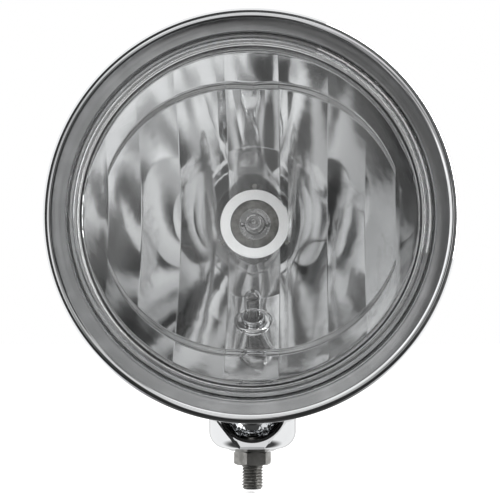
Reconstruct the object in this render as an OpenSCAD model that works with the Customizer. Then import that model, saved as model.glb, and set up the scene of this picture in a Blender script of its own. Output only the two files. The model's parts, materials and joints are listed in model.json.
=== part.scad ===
// Round driving and fog lamp on a swivel foot: chromed steel bowl and bezel ring,
// clear glass lens, fluted reflector, halogen main bulb, small side lamp, M12 stud.
// Frame: origin on the stud's axis in the lower face of the nut, which meets the bracket;
// +Z up, lens facing -Y.

/* [Lamp head] */
// Outside radius of the bezel ring
bezel_r = 115; // [114:0.5:117]
// Height of the lamp's axis above the mounting face
axis_z = 141; // [140:0.5:145]
// Distance from the bezel's front edge back to the stud's axis
stud_setback = 48; // [46:0.5:52]
// Depth from the bezel's front edge to the housing's flat back
housing_depth = 134; // [133:0.5:140]
// Thickness of the pressed steel of housing and bezel
sheet_t = 1.2; // [1:0.1:1.3]
// Radius of the housing's flat back
back_r = 34; // [32:1:40]

/* [Lens] */
// Radius where the shoulder of the lens rises from its flange
shoulder_r = 103; // [102:0.5:104]
// Distance that the lens stands ahead of the bezel's front edge
lens_bulge = 8; // [6:0.5:10]
// Thickness of the glass
lens_t = 3.2; // [2.8:0.1:3.6]

/* [Reflector] */
// Radius of the reflector's mouth
mouth_r = 94.5; // [92:0.5:96]
// Focal length of the paraboloid
focal = 25; // [24.5:0.5:28]
// Radius of the flat land round the bulb hole
land_r = 19.8; // [19:0.2:21]
// Radius of the bulb hole
bulb_hole_r = 14.4; // [14:0.2:15]
// Wall thickness of the reflector
reflector_t = 2.2; // [2:0.1:2.4]
// Height of the side lamp's hole below the lamp's axis
side_drop = 58.5; // [56:0.5:61]

/* [Foot] */
// Outside radius of the swivel cup
cup_r = 25; // [24.5:0.1:26]
// Radius of the ball pressed in the bottom of the housing
ball_r = 19.5; // [19:0.1:19.8]
// Height of the ball's centre above the underside of the cup
ball_z = 24.5; // [24.2:0.1:25]
// Largest tilt of the head each way, in degrees
tilt_max = 15; // [10:1:15]
// Radius of the stud's thread
stud_r = 6; // [5.9:0.05:6.1]
// Length of the stud below the mounting face
stud_drop = 14; // [12:0.5:24]
// Size of the nut across its flats
nut_af = 19; // [18:0.5:19]
// Height of the nut
nut_h = 8; // [7:0.5:9]

/* [Hidden] */
$fn = 96;

// Gap between curved faces that turn on each other
swivel_gap = 0.3;
// Radial clearance of a pin that turns in its hole
pin_gap = 0.1;
// Gap between flat faces that turn on each other
face_gap = 0.05;

// Depths behind the bezel's front edge of the pieces that it clamps together
lip_s = 5;
lens_flange_t = 3.5;
seal_t = 2;
flange_t = 1.8;
seal_s = lip_s + lens_flange_t;
reflector_s = seal_s + seal_t;
gasket_s = reflector_s + flange_t;
housing_s = gasket_s + seal_t;
// Radii of the clamped pieces
skirt_r = bezel_r - 2.7;
skirt_in = skirt_r - 1;
clamped_r = skirt_in - 0.4;
housing_r = skirt_in - 0.3;
gasket_in = 102;
// Bead on the front of the bezel, and the ends of the two skirts
bead_r = 2.6;
bezel_end = 22;
housing_skirt_end = 24;
// Screws round the bezel
screw_s = 19.2;
screw_angles = [0, 120, 240];

// Paraboloid of the reflector: depth of a point of its inner face at radius r
vertex_s = reflector_s + mouth_r * mouth_r / (4 * focal);
function dish_s(r) = vertex_s - r * r / (4 * focal);
land_s = dish_s(land_r);
// Rear face of the holder plate, against which the main bulb's flange is held
plate_t = 1.2;
plate_r = 26;
seat_s = land_s + reflector_t + plate_t;
holder_screw_r = 22.5;
bulb_flange_r = 11;

// Side lamp: its place on the dish, and its tilt from the vertical
side_s = dish_s(side_drop);
side_tilt = 90 - atan(side_drop / (2 * focal));
side_bore_r = 7;
pad_r = 11.2;

// Wire bail that holds the main bulb
wire_r = 0.8;
bail_half = 7.6;
bail_low = -18;
bail_high = 16.5;
bail_z = -1 - wire_r - 0.1;
ear_x = 10.4;
ear_t = 1.2;

// Cable entry in the flat back
grommet_drop = 19;
cable_r = 3.5;
grommet_neck_r = 6.5;

// Foot
cup_top = 20.5;
shank_r = stud_r - 0.25;
cup_bore_r = shank_r + pin_gap;
liner_t = 1.5;
liner_in = ball_r + swivel_gap;
liner_out = liner_in + liner_t;
ball_in = ball_r - 1.5;
washer_r = ball_in - swivel_gap;
washer_top = 11;
slot_half = stud_r + 0.35;
spring_t = 2.5;
head_h = 7.5;
head_z = ball_z - washer_top + spring_t + face_gap;

function arc_points(c, r, a0, a1, n) =
  [for (i = [0:n]) let (a = a0 + (a1 - a0) * i / n) [c.x + r.x * cos(a), c.y + r.y * sin(a)]];

// Places children on the lamp's axis: their z runs backwards from the bezel's front edge
module on_axis() {
  translate([0, -stud_setback, axis_z]) rotate([-90, 0, 0]) children();
}

// Places children behind the reflector: their z runs forwards from the bulb flange's seat
module on_bulb_seat() {
  translate([0, seat_s - stud_setback, axis_z]) rotate([90, 0, 0]) children();
}

// Places children on the side lamp's pad: their z runs out of the dish, along the bulb
module on_side_pad() {
  translate([0, side_s - stud_setback, axis_z - side_drop]) rotate([side_tilt, 0, 0]) children();
}

module ring(r_out, r_in, z0, h) {
  difference() {
    translate([0, 0, z0]) cylinder(r = r_out, h = h);
    translate([0, 0, z0 - 1]) cylinder(r = r_in, h = h + 2);
  }
}

// Round wire or lead through a list of points, with a slightly larger ball at each bend
module wire(points, r) {
  for (i = [0:len(points) - 2]) {
    step = points[i + 1] - points[i];
    length = norm(step);
    translate(points[i]) rotate([0, acos(step.z / length), atan2(step.y, step.x)])
      cylinder(r = r, h = length, $fn = 24);
    if (i > 0) translate(points[i]) sphere(r = r + 0.05, $fn = 24);
  }
}

// ---- Foot ----

// Places children on the underside of the cup, which stands on the nut
module on_foot() {
  translate([0, 0, nut_h]) children();
}

// The thread starts just below the nut, so that a bracket's sleeve can come right up to it
module mounting_stud() {
  chamfer = 1.4;
  bare = 0.6;
  color("silver") union() {
    translate([0, 0, -stud_drop + chamfer]) cylinder(r = stud_r, h = stud_drop - chamfer - bare);
    translate([0, 0, -stud_drop]) cylinder(r1 = stud_r - chamfer, r2 = stud_r, h = chamfer);
    translate([0, 0, -bare - 1]) cylinder(r = shank_r, h = nut_h + head_z + bare + 2);
    on_foot() translate([0, 0, head_z]) cylinder(r = nut_af / sqrt(3), h = head_h, $fn = 6);
  }
}

module clamp_nut() {
  corner_r = nut_af / sqrt(3);
  chamfer_run = 2 * nut_h;
  color("tan") difference() {
    intersection() {
      rotate(15) cylinder(r = corner_r, h = nut_h - face_gap, $fn = 6);
      cylinder(r1 = nut_af / 2, r2 = nut_af / 2 + chamfer_run, h = nut_h);
      cylinder(r1 = nut_af / 2 + chamfer_run, r2 = nut_af / 2, h = nut_h);
    }
    translate([0, 0, -1]) cylinder(r = stud_r + pin_gap, h = nut_h + 2);
  }
}

module spring_washer() {
  color("silver") on_foot() translate([0, 0, head_z - spring_t]) difference() {
    ring(10.3, shank_r + pin_gap, 0, spring_t);
    translate([0, -0.7, -1]) cube([12, 1.4, spring_t + 2]);
  }
}

// Outline in X and Z of the notch in the front of the cup
module notch(half_top, half_mid, half_low, low, mid) {
  rotate([90, 0, 0]) translate([0, 0, 8]) linear_extrude(height = 30)
    polygon([[-half_low, low], [half_low, low], [half_mid, mid], [half_top, cup_top + 4],
             [-half_top, cup_top + 4], [-half_mid, mid]]);
}

// Slanting top of the cup, which stays clear of the bowl as the head tilts
module below_cup_top() {
  front_top = 15;
  level_y = 2;
  rotate([90, 0, 90]) translate([0, 0, -cup_r - 5]) linear_extrude(height = 2 * cup_r + 10)
    polygon([[-cup_r - 5, -1], [cup_r + 5, -1], [cup_r + 5, cup_top], [level_y, cup_top],
             [-cup_r, front_top], [-cup_r - 5, front_top]]);
}

module swivel_cup() {
  corner = 10;
  foot_flat = 12.5;
  outline = concat(
    [[cup_bore_r, 0], [foot_flat, 0], [cup_r - corner, 1.3]],
    arc_points([cup_r - corner, corner + 1.3], [corner, corner], -90, 0, 10),
    [[cup_r, cup_top + 1], [cup_bore_r, cup_top + 1]]);
  color("gainsboro") on_foot() difference() {
    intersection() {
      rotate_extrude() polygon(outline);
      below_cup_top();
    }
    translate([0, 0, ball_z]) sphere(r = liner_out);
    notch(26, 11.8, 7, 1.9, 7.7);
  }
}

module seat_liner() {
  liner_top = 16.5;
  color("dimgray") on_foot() difference() {
    intersection() {
      translate([0, 0, ball_z]) sphere(r = liner_out);
      below_cup_top();
      cylinder(r = cup_r, h = liner_top);
    }
    translate([0, 0, ball_z]) sphere(r = liner_in);
    translate([0, 0, -1]) cylinder(r = cup_bore_r + 0.3, h = cup_top);
    notch(24.5, 10, 3, 4, 7.6);
  }
}

module ball_washer() {
  color("silver") on_foot() difference() {
    intersection() {
      translate([0, 0, ball_z]) sphere(r = washer_r);
      cylinder(r = cup_r, h = ball_z - washer_top);
    }
    translate([0, 0, -1]) cylinder(r = shank_r + pin_gap, h = cup_top);
  }
}

// ---- Housing and bezel ----

// Radius of the bowl at depth s, for a bowl of mouth radius r0, back radius r1 and depth s1
function bowl_r(s, r0, r1, s1) =
  let (u = (s - housing_skirt_end) / (s1 - housing_skirt_end))
  r1 + (r0 - r1) * pow(max(0, 1 - pow(u, 1.5)), 0.6);

function bowl_points(r0, r1, s1) =
  [for (i = [0:28]) let (s = s1 - (s1 - housing_skirt_end) * pow(1 - i / 28, 2)) [bowl_r(s, r0, r1, s1), s]];

module bowl_outside() {
  rotate_extrude($fn = 144) polygon(concat(
    [[0, housing_s], [housing_r, housing_s]],
    bowl_points(housing_r, back_r, housing_depth),
    [[0, housing_depth]]));
}

module bowl_inside() {
  rotate_extrude($fn = 144) polygon(concat(
    [[0, housing_s + sheet_t], [housing_r - sheet_t, housing_s + sheet_t]],
    bowl_points(housing_r - sheet_t, back_r - 1, housing_depth - sheet_t),
    [[0, housing_depth - sheet_t]]));
}

// Sector, as wide as the stud, that the stud sweeps as the head tilts
module stud_slot() {
  reach = ball_r + 6;
  side = tilt_max + asin(slot_half / ball_in);
  on_foot() translate([0, 0, ball_z]) rotate([90, 0, 90]) translate([0, 0, -slot_half])
    linear_extrude(height = 2 * slot_half)
      polygon([[0, 0], [-reach * sin(side), -reach * cos(side)], [reach * sin(side), -reach * cos(side)]]);
}

module radial_screw_holes(r) {
  on_axis() for (a = screw_angles)
    rotate(a - 90) translate([100, 0, screw_s]) rotate([0, 90, 0]) cylinder(r = r, h = 20, $fn = 32);
}

module housing_shell() {
  color("gainsboro") difference() {
    union() {
      on_axis() bowl_outside();
      on_foot() translate([0, 0, ball_z]) sphere(r = ball_r);
    }
    on_axis() bowl_inside();
    on_axis() translate([0, 0, housing_s - 1]) cylinder(r = gasket_in, h = 4);
    on_foot() translate([0, 0, ball_z]) sphere(r = ball_in);
    stud_slot();
    radial_screw_holes(2.2);
    on_axis() translate([0, grommet_drop, housing_depth - 5]) cylinder(r = grommet_neck_r, h = 10);
  }
}

module housing_gasket() {
  color("dimgray") on_axis() ring(clamped_r, gasket_in, gasket_s, seal_t);
}

module bezel_ring() {
  bead_c = [bezel_r - bead_r, bead_r];
  inner_bead = bead_r - sheet_t;
  outline = concat(
    [[bead_c.x - bead_r, lip_s]],
    arc_points(bead_c, [bead_r, bead_r], 180, 360, 16),
    [[bezel_r, 6.6]],
    arc_points([bezel_r - 2.7, 6.6], [2.7, 2.7], 0, 90, 8),
    [[skirt_r, bezel_end], [skirt_in, bezel_end], [skirt_in, 8.3],
     [bezel_r - sheet_t, 6.2]],
    arc_points(bead_c, [inner_bead, inner_bead], 360, 180, 12),
    [[bead_c.x - inner_bead, lip_s]]);
  color("gainsboro") difference() {
    on_axis() rotate_extrude($fn = 180) polygon(outline);
    radial_screw_holes(2.2);
  }
}

module bezel_screws() {
  head_h = 1.8;
  color("silver") on_axis() for (a = screw_angles)
    rotate(a - 90) translate([skirt_r, 0, screw_s]) rotate([0, 90, 0]) difference() {
      union() {
        cylinder(r = 3.4, h = head_h);
        translate([0, 0, -8]) cylinder(r = 1.95, h = 8.5);
      }
      translate([-0.5, -3, head_h - 0.9]) cube([1, 6, 2]);
    }
}

module bezel_clip_nuts() {
  plate = [6.6, 9, 1.4];
  color("silver") on_axis() for (a = screw_angles)
    rotate(a - 90) translate([housing_r - sheet_t - plate.z - 0.2, 0, screw_s]) rotate([0, 90, 0])
      difference() {
        translate([-plate.x / 2, -plate.y / 2, 0]) cube(plate);
        translate([0, 0, -1]) cylinder(r = 1.95, h = plate.z + 2, $fn = 32);
      }
}

// ---- Lens and reflector ----

// Shoulder and crown of the lens, for a shoulder of radius r and a crown top at depth top
function lens_points(r, foot, top) =
  let (crown = 3.4, sx = 13, sy = foot - top - crown)
  concat(
    [[r, foot]],
    arc_points([r - sx, foot], [sx, sy], 0, -80, 10),
    [for (i = [1:7]) let (q = (r - sx) * (1 - i / 7)) [q, top + crown * pow(q / (r - sx), 2) - 0.05]]);

module lens() {
  outside = lens_points(shoulder_r, lip_s, -lens_bulge);
  inside = lens_points(shoulder_r - lens_t, seal_s, lens_t - lens_bulge);
  count = len(inside);
  color("aliceblue", 0.4) on_axis() rotate_extrude($fn = 144) polygon(concat(
    [[clamped_r, seal_s], [clamped_r, lip_s]], outside,
    [for (i = [count - 1:-1:0]) inside[i]]));
}

module lens_seal() {
  color("dimgray") on_axis() ring(clamped_r, 103.5, seal_s, seal_t);
}

module reflector() {
  steps = 24;
  t = reflector_t;
  dish = [for (i = [0:steps]) let (r = mouth_r + (land_r - mouth_r) * i / steps) [r, dish_s(r)]];
  back = [for (i = [0:steps])
    let (r = land_r + (mouth_r - land_r) * i / steps, a = atan(r / (2 * focal)))
    [r + t * sin(a), dish_s(r) + t * cos(a)]];
  rim = [[clamped_r, gasket_s], [clamped_r, reflector_s]];
  rear = concat([for (p = back) if (p.y > gasket_s) p], [[mouth_r + 1.2, gasket_s]]);
  color("lightgray") difference() {
    union() {
      on_axis() rotate_extrude($fn = 144) polygon(concat(
        rim, dish, [[bulb_hole_r, land_s], [bulb_hole_r, land_s + t]], [[land_r - 1, land_s + t]],
        rear));
      on_side_pad() translate([0, 0, -t]) cylinder(r = pad_r, h = t + 0.6);
      on_bulb_seat() for (a = [90, 210, 330])
        rotate(a) translate([holder_screw_r, 0, plate_t]) cylinder(r = 3, h = 5, $fn = 32);
    }
    on_side_pad() translate([0, 0, -10]) cylinder(r = side_bore_r, h = 20);
    on_bulb_seat() for (a = [90, 210, 330])
      rotate(a) translate([holder_screw_r, 0, 0]) cylinder(r = 1.4, h = 4.5, $fn = 24);
  }
}

// ---- Main bulb and its holder ----

module bulb_holder_plate() {
  color("silver") on_bulb_seat() difference() {
    ring(plate_r, 9.6, 0, plate_t);
    for (a = [90, 210, 330])
      rotate(a) translate([holder_screw_r, 0, -1]) cylinder(r = 1.7, h = 4, $fn = 24);
  }
}

module holder_screws() {
  color("silver") on_bulb_seat() for (a = [90, 210, 330])
    rotate(a) translate([holder_screw_r, 0, 0]) difference() {
      union() {
        translate([0, 0, -1.8]) cylinder(r = 2.8, h = 1.8, $fn = 32);
        translate([0, 0, -0.5]) cylinder(r = 1.4, h = 5, $fn = 24);
      }
      translate([-0.4, -3, -3]) cube([0.8, 6, 1.8]);
      translate([-3, -0.4, -3]) cube([6, 0.8, 1.8]);
    }
}

module clip_hinge_bracket() {
  color("silver") on_bulb_seat() difference() {
    union() {
      translate([-ear_x - ear_t, bail_low - 2.6, -0.8]) cube([2 * (ear_x + ear_t), 4.4, 0.8]);
      for (side = [-1, 1]) translate([side * (ear_x + ear_t / 2) - ear_t / 2, bail_low, 0]) {
        translate([0, -1.85, bail_z]) cube([ear_t, 3.7, -bail_z]);
        translate([0, 0, bail_z]) rotate([0, 90, 0]) cylinder(r = 1.85, h = ear_t, $fn = 48);
      }
    }
    translate([-20, bail_low, bail_z]) rotate([0, 90, 0])
      cylinder(r = wire_r + pin_gap, h = 40, $fn = 48);
  }
}

module clip_catch() {
  color("silver") on_bulb_seat() {
    translate([-3, bail_high + wire_r + 0.4, -4.2]) cube([6, 1, 4.2]);
    translate([-3, bail_high + wire_r + 0.4, -0.8]) cube([6, 2, 0.8]);
  }
}

module bulb_clip() {
  pivot = ear_x + ear_t + 1;
  color("goldenrod") on_bulb_seat() wire([
    [-pivot, bail_low, bail_z], [-bail_half, bail_low, bail_z], [-bail_half, bail_high, bail_z],
    [bail_half, bail_high, bail_z], [bail_half, bail_low, bail_z], [pivot, bail_low, bail_z]],
    wire_r);
}

module main_bulb_base() {
  color("silver") on_bulb_seat() difference() {
    union() {
      translate([0, 0, -1]) cylinder(r = bulb_flange_r, h = 1);
      translate([0, 0, -1]) cylinder(r = 6, h = 7);
      translate([0, 0, -6]) cylinder(r = 4.6, h = 5.5);
      for (side = [-1, 1]) translate([side * 7.6, 0, -0.5]) cylinder(r = 1.5, h = 1.3, $fn = 32);
    }
    translate([0, 0, 1]) cylinder(r = 4.85, h = 6);
  }
}

// Glass tube with a round end, open at its foot
module glass_tube(r, wall, foot, top) {
  round_h = r * 1.1;
  straight = top - round_h;
  rotate_extrude() polygon(concat(
    [[r - wall, foot], [r, foot]],
    arc_points([0, straight], [r, round_h], 0, 90, 10),
    arc_points([0, straight], [r - wall, round_h - wall], 90, 0, 10)));
}

module main_bulb_glass() {
  color("aliceblue", 0.4) on_bulb_seat() glass_tube(4.8, 0.9, 1.1, 31);
}

module main_bulb_filament() {
  coil_z = seat_s - (vertex_s - focal);
  half = 2.6;
  color("goldenrod") on_bulb_seat() {
    translate([-half, 0, coil_z]) rotate([0, 90, 0]) cylinder(r = 0.7, h = 2 * half, $fn = 24);
    for (side = [-1, 1]) translate([side * half, 0, 1.1]) cylinder(r = 0.4, h = coil_z - 1.1, $fn = 24);
  }
}

// ---- Side lamp ----

module side_lamp_socket() {
  color("silver") on_side_pad() difference() {
    union() {
      translate([0, 0, -15]) cylinder(r = 6.6, h = 19);
      translate([0, 0, -5.4]) cylinder(r = 9.5, h = 1.6);
    }
    translate([0, 0, -9]) cylinder(r = 5.3, h = 20);
  }
}

module side_lamp_seal() {
  color("dimgray") on_side_pad() ring(9.8, side_bore_r, -3.8, 3.8 - reflector_t);
}

module side_bulb_base() {
  color("aliceblue") on_side_pad() translate([-4.6, -1.3, -9]) cube([9.2, 2.6, 7]);
}

module side_bulb_glass() {
  color("aliceblue", 0.4) on_side_pad() glass_tube(4.9, 0.6, -2, 24);
}

module side_bulb_filament() {
  color("goldenrod") on_side_pad() {
    translate([-2.2, 0, 14]) rotate([0, 90, 0]) cylinder(r = 0.4, h = 4.4, $fn = 24);
    for (side = [-1, 1]) translate([side * 2.2, 0, -2]) cylinder(r = 0.3, h = 16, $fn = 24);
  }
}

// ---- Wiring inside the housing ----

connector = [20, 9, 14];
connector_s = 106;
connector_drop = 43.5;
lead_r = 1.2;
lead_pitch = 6;

// Places children on the connector: x across, y downwards, z backwards from its front face
module on_connector() {
  on_axis() translate([0, connector_drop, connector_s]) children();
}

module lead_connector() {
  color("ivory") on_connector() difference() {
    translate([-connector.x / 2, -connector.y / 2, 0]) cube(connector);
    for (i = [-1:1]) translate([lead_pitch * i, 0, 4]) cylinder(r = 2.1, h = connector.z, $fn = 32);
  }
}

module lead_terminals() {
  color("goldenrod") on_connector() for (i = [-1:1]) translate([lead_pitch * i, 0, 0])
    difference() {
      translate([0, 0, 4]) cylinder(r = 2.1, h = 8, $fn = 32);
      translate([0, 0, 6]) cylinder(r = 1.6, h = 8, $fn = 32);
    }
}

// Point at fraction u between points i and i + 1 of a smooth line through all of them
function smooth_point(p, i, u) =
  let (a = p[max(i - 1, 0)], b = p[i], c = p[i + 1], d = p[min(i + 2, len(p) - 1)])
  0.5 * (2 * b + (c - a) * u + (2 * a - 5 * b + 4 * c - d) * u * u + (3 * b - a - 3 * c + d) * u * u * u);

// Soft round tube through a list of points, which run mostly across the X axis
module lead(route) {
  parts = 3;
  sides = 8;
  path = concat(
    [for (i = [0:len(route) - 2], k = [0:parts - 1]) smooth_point(route, i, k / parts)],
    [route[len(route) - 1]]);
  last = len(path) - 1;
  rings = [for (i = [0:last])
    let (along = path[min(i + 1, last)] - path[max(i - 1, 0)],
         across = cross(along, [1, 0, 0]) / norm(cross(along, [1, 0, 0])),
         third = cross(along, across) / norm(cross(along, across)))
    for (k = [0:sides - 1]) path[i] + lead_r * (across * cos(360 * k / sides) + third * sin(360 * k / sides))];
  walls = [for (i = [0:last - 1], k = [0:sides - 1])
    let (a = sides * i + k, b = sides * i + (k + 1) % sides)
    each [[a, b, a + sides], [b, b + sides, a + sides]]];
  caps = [[for (k = [sides - 1:-1:0]) k], [for (k = [0:sides - 1]) sides * last + k]];
  polyhedron(points = rings, faces = concat(walls, caps));
}

// The three leads are lists of points: across, down from the lamp's axis, depth
module bulb_lead() {
  color("firebrick") on_axis() lead([
    [0, 0, seat_s + 6.05], [0, 0, seat_s + 12], [0, 4, seat_s + 14], [0, 14, seat_s + 13],
    [0, 34, 104], [0, 40, 102], [0, connector_drop, 103], [0, connector_drop, connector_s - 0.05]]);
}

module earth_lead() {
  color("black") on_axis() lead([
    [17, 17, seat_s + 0.05], [17, 17, seat_s + 4], [16, 20, seat_s + 6], [9, 34, 103],
    [6.5, 40, 102], [lead_pitch, connector_drop, 103],
    [lead_pitch, connector_drop, connector_s - 0.05]]);
}

module side_lead() {
  rear = 15.05;
  out = 5;
  rise = cos(side_tilt);
  run = sin(side_tilt);
  color("saddlebrown") on_axis() lead([
    [0, side_drop + rear * rise, side_s + rear * run],
    [0, side_drop + (rear + out) * rise, side_s + (rear + out) * run],
    [-2, 76, 85], [-5, 68, 93], [-6, 55, 97], [-6, 46, 100], [-lead_pitch, connector_drop, 102.5],
    [-lead_pitch, connector_drop, connector_s - 0.05]]);
}

module cable_grommet() {
  inner = housing_depth - sheet_t;
  color("dimgray") on_axis() translate([0, grommet_drop, 0]) rotate_extrude() polygon([
    [cable_r, inner - 2.2], [8.6, inner - 2.2], [8.6, inner], [grommet_neck_r, inner],
    [grommet_neck_r, housing_depth], [9.2, housing_depth], [9.2, housing_depth + 2.2],
    [6.4, housing_depth + 7], [cable_r, housing_depth + 7]]);
}

mounting_stud();
clamp_nut();
spring_washer();
swivel_cup();
seat_liner();
ball_washer();
housing_shell();
housing_gasket();
bezel_ring();
bezel_screws();
bezel_clip_nuts();
lens();
lens_seal();
reflector();
bulb_holder_plate();
holder_screws();
clip_hinge_bracket();
clip_catch();
bulb_clip();
main_bulb_base();
main_bulb_glass();
main_bulb_filament();
side_lamp_socket();
side_lamp_seal();
side_bulb_base();
side_bulb_glass();
side_bulb_filament();
bulb_lead();
earth_lead();
side_lead();
lead_connector();
lead_terminals();
cable_grommet();
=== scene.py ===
# %% [markdown]
# # A round fog lamp on a swivel foot
# The lamp is a chromed steel bowl closed by a glass lens that a chromed bezel ring holds.
# Inside are a fluted reflector, a halogen main bulb and a small side lamp, and below is a
# swivel foot on a threaded stud. A CAD model has already settled every size and joint.
# This script dresses that frame: it makes the smooth, fine shapes as meshes and gives
# every piece its finish.

# %% Load the frame
import json
import math

import bmesh
import bpy
from mathutils import Matrix, Vector


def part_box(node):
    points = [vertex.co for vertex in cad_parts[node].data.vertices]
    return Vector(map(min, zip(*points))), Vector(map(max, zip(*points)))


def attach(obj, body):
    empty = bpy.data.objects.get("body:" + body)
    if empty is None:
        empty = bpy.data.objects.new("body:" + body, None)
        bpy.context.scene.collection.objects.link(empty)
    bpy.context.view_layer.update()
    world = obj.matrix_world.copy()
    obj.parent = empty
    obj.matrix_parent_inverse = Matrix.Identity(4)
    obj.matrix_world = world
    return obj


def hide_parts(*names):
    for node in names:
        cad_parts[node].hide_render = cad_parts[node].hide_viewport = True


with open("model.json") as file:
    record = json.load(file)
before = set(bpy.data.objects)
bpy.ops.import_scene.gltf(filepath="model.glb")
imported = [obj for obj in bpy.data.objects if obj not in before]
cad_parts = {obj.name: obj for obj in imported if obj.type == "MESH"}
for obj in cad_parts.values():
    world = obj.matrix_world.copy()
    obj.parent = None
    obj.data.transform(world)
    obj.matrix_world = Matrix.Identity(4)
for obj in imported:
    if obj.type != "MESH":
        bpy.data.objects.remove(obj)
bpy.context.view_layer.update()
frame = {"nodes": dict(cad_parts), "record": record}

# %% [markdown]
# ## Places on the lamp
# A turned piece is easiest to describe about its own axis, so each axis gets a matrix.
# Its local Z runs along the axis: backwards from the bezel for the lamp, up for the foot,
# forwards from the bulb's seat, and out of the dish for the side lamp. Shapes are written
# in millimetres and scaled to metres in one place.

# %% Axes and main sizes, from the frame
MM = 0.001
bezel_lo, bezel_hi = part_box("bezel_ring")
AXIS_Z = (bezel_lo.z + bezel_hi.z) / 2
FRONT_Y = bezel_lo.y
BEZEL_R = bezel_hi.x / MM
NUT_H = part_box("swivel_cup")[0].z / MM
SEAT = (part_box("bulb_holder_plate")[1].y - FRONT_Y) / MM
MOUTH_R = 94.5
FOCAL = 25.0
MOUTH_S = 10.5
VERTEX_S = MOUTH_S + MOUTH_R**2 / (4 * FOCAL)
SIDE_DROP = 58.5
SIDE_TILT = math.pi / 2 - math.atan(SIDE_DROP / (2 * FOCAL))


def dish_depth(radius):
    """Depth of the reflector's paraboloid behind the bezel's front edge."""
    return VERTEX_S - radius**2 / (4 * FOCAL)


def axis_at(depth, drop, tilt):
    """An axis in the lamp's upright middle plane, tilted from the vertical, in millimetres."""
    place = Vector((0, FRONT_Y / MM + depth, AXIS_Z / MM - drop))
    return Matrix.Translation(place) @ Matrix.Rotation(tilt, 4, "X")


LAMP = axis_at(0, 0, -math.pi / 2)
BULB = axis_at(SEAT, 0, math.pi / 2)
SIDE = axis_at(dish_depth(SIDE_DROP), SIDE_DROP, SIDE_TILT)
STUD = Matrix.Identity(4)
FOOT = Matrix.Translation((0, 0, NUT_H))
print(f"bezel radius {BEZEL_R:.1f} mm, lamp axis {AXIS_Z / MM:.1f} mm up, bulb seat {SEAT:.2f} mm back")

# %% [markdown]
# ## Making meshes
# Most of this lamp is turned, rolled or spun, so the main tool is a lathe: an outline of
# radius and height, carried round an axis. A second tool sweeps a round wire along a line,
# and a third cuts or joins solids with a Boolean modifier, which is then applied. Fine
# teeth, as on a knurled edge, are made by moving every other column of the lathe.


# %% Solid makers
def solid(name, vertices, faces):
    """A mesh object in metres from vertices in millimetres, welded, with its faces turned outwards."""
    mesh = bpy.data.meshes.new(name)
    mesh.from_pydata([vertex * MM for vertex in vertices], [], faces)
    welded = bmesh.new()
    welded.from_mesh(mesh)
    bmesh.ops.remove_doubles(welded, verts=welded.verts, dist=1e-8)
    bmesh.ops.dissolve_degenerate(welded, edges=welded.edges, dist=1e-8)
    bmesh.ops.recalc_face_normals(welded, faces=welded.faces)
    welded.to_mesh(mesh)
    welded.free()
    piece = bpy.data.objects.new(name, mesh)
    bpy.context.scene.collection.objects.link(piece)
    return piece


def turned(name, outline, place, segments=240, closed=True, tooth=None):
    """An outline of (radius, height) carried round place's Z axis; tooth shifts one column's point."""
    count = len(outline)
    vertices = []
    faces = []
    for column in range(segments):
        turn = 2 * math.pi * column / segments
        for row, (radius, height) in enumerate(outline):
            if tooth:
                radius, height = tooth(row, column, radius, height)
            point = Vector((radius * math.cos(turn), radius * math.sin(turn), height))
            vertices.append(place @ point)
        here = column * count
        there = (column + 1) % segments * count
        for row in range(count if closed else count - 1):
            above = (row + 1) % count
            faces.append((here + row, there + row, there + above, here + above))
    return solid(name, vertices, faces)


def prism(name, outline, place, low, high):
    """An outline in place's X and Y, carried from low to high along its Z."""
    count = len(outline)
    vertices = [place @ Vector((x, y, z)) for z in (low, high) for x, y in outline]
    walls = [(i, (i + 1) % count, (i + 1) % count + count, i + count) for i in range(count)]
    return solid(name, vertices, walls + [tuple(range(count)), tuple(range(count, 2 * count))])


def wire(name, line, place, radius, sides=16):
    """A round wire of that radius along a line of points, with flat ends."""
    points = [place @ Vector(point) for point in line]
    vertices = []
    across = None
    for i, point in enumerate(points):
        along = (points[min(i + 1, len(points) - 1)] - points[max(i - 1, 0)]).normalized()
        if across is None:
            across = along.orthogonal().normalized()
        across = (across - along * across.dot(along)).normalized()
        third = along.cross(across)
        for k in range(sides):
            turn = 2 * math.pi * k / sides
            vertices.append(point + (across * math.cos(turn) + third * math.sin(turn)) * radius)
    faces = [tuple(range(sides)), tuple(range(len(vertices) - sides, len(vertices)))]
    for ring in range(len(points) - 1):
        for k in range(sides):
            a = ring * sides + k
            b = ring * sides + (k + 1) % sides
            faces.append((a, b, b + sides, a + sides))
    return solid(name, vertices, faces)


def worked(piece, tool, operation):
    """The piece after a cut, a join or a trim with another solid, which is used up."""
    modifier = piece.modifiers.new("work", "BOOLEAN")
    modifier.operation = operation
    modifier.solver = "MANIFOLD"
    modifier.object = tool
    shaped = piece.evaluated_get(bpy.context.evaluated_depsgraph_get())
    mesh = bpy.data.meshes.new_from_object(shaped)
    piece.modifiers.clear()
    piece.data = mesh
    bpy.data.objects.remove(tool)
    return piece


def cut(piece, tool):
    return worked(piece, tool, "DIFFERENCE")


def join(piece, tool):
    return worked(piece, tool, "UNION")


def arc(centre, radii, start, end, count):
    """Points on a stretch of an ellipse, with angles in degrees."""
    angles = [math.radians(start + (end - start) * i / count) for i in range(count + 1)]
    return [(centre[0] + radii[0] * math.cos(a), centre[1] + radii[1] * math.sin(a)) for a in angles]


def fit(piece, finish, body, stands_for=(), crease=32):
    """Smooths, colours and mounts a finished piece."""
    piece.data.shade_smooth()
    piece.data.set_sharp_from_angle(angle=math.radians(crease))
    piece.data.materials.clear()
    piece.data.materials.append(finish)
    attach(piece, body)
    if stands_for:
        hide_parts(*stands_for)
    print(f"{piece.name}: {len(piece.data.polygons)} faces on {body}")
    return piece


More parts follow.
